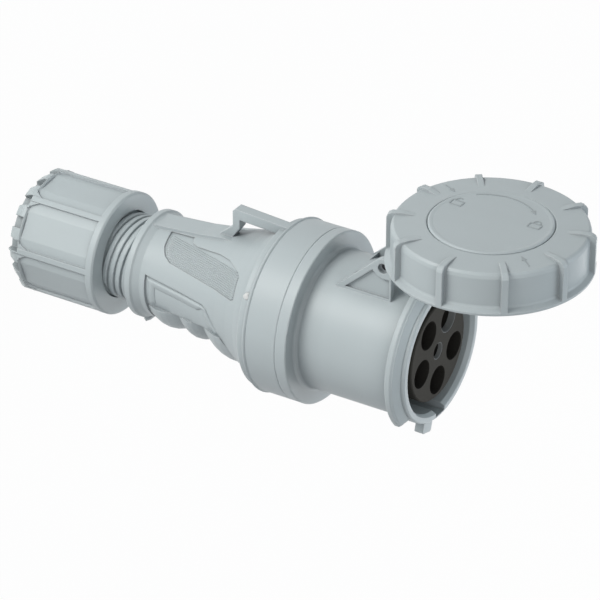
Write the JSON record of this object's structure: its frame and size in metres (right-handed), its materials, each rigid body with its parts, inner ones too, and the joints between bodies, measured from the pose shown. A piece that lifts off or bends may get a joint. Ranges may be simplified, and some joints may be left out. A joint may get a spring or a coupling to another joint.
{
  "type": "industrial power coupler",
  "caption": "Grey pin-and-sleeve connector with cable gland, grip handle with hanging loop, keyed round mouth and an open hinged bayonet lid.",
  "frame": {"origin": "centre of the gland nut's flat rear end, on the body's axis", "axes": "+Z along the body to the mouth, +Y to the hanging loop and the hinge, +X across"},
  "size_m": [0.112, 0.1386, 0.3471],
  "materials": {
    "housing": "satin moulded grey",
    "inner_plastic": "moulded grey",
    "carrier": "moulded dark grey",
    "seal_rubber": "matt",
    "white_pin": "satin",
    "steel": "blackened",
    "contact_brass": "plain"
  },
  "bodies": {
    "coupler": {"rear_housing": "housing", "housing_lock_pin": "white_pin", "front_housing": "housing", "body_seal": "seal_rubber", "contact_carrier": "carrier", "carrier_seat": "inner_plastic", "carrier_foot": "carrier", "contact_retainer": "inner_plastic", "contact_earth": "contact_brass", "contact_phase_one": "contact_brass", "contact_phase_two": "contact_brass", "contact_phase_three": "contact_brass", "contact_neutral": "contact_brass", "contact_pilot": "contact_brass", "contact_springs": "steel", "terminal_screws": "steel", "carrier_screws": "steel", "hinge_pin": "steel"},
    "gland_insert": {"gland_thrust_ring": "inner_plastic", "gland_seal": "seal_rubber"},
    "nut": {"gland_nut": "housing"},
    "lid": {"lid_plate": "housing", "lid_cover": "housing", "lid_gasket": "seal_rubber"},
    "lock_ring": {"lid_ring": "housing"}
  },
  "joints": [
    {"name": "gland_travel", "type": "slide", "parent": "coupler", "child": "gland_insert", "axis": [0, 0, 1], "range_m": [0, 0.016]},
    {"name": "gland_turn", "type": "hinge", "parent": "gland_insert", "child": "nut", "pos_m": [0, 0, 0], "axis": [0, 0, -1], "range_deg": [0, 261.8]},
    {"name": "lid_hinge", "type": "hinge", "parent": "coupler", "child": "lid", "pos_m": [0, 0.05375, 0.23735], "axis": [1, 0, 0], "range_deg": [-15, 90]},
    {"name": "lid_ring_turn", "type": "hinge", "parent": "lid", "child": "lock_ring", "pos_m": [0, 0.064, 0.2911], "axis": [0, -1, 0], "range_deg": [0, 30]}
  ],
  "couplings": [
    {"joint": "gland_travel", "follows": "gland_turn", "m_per_rad": 0.0035014}
  ]
}
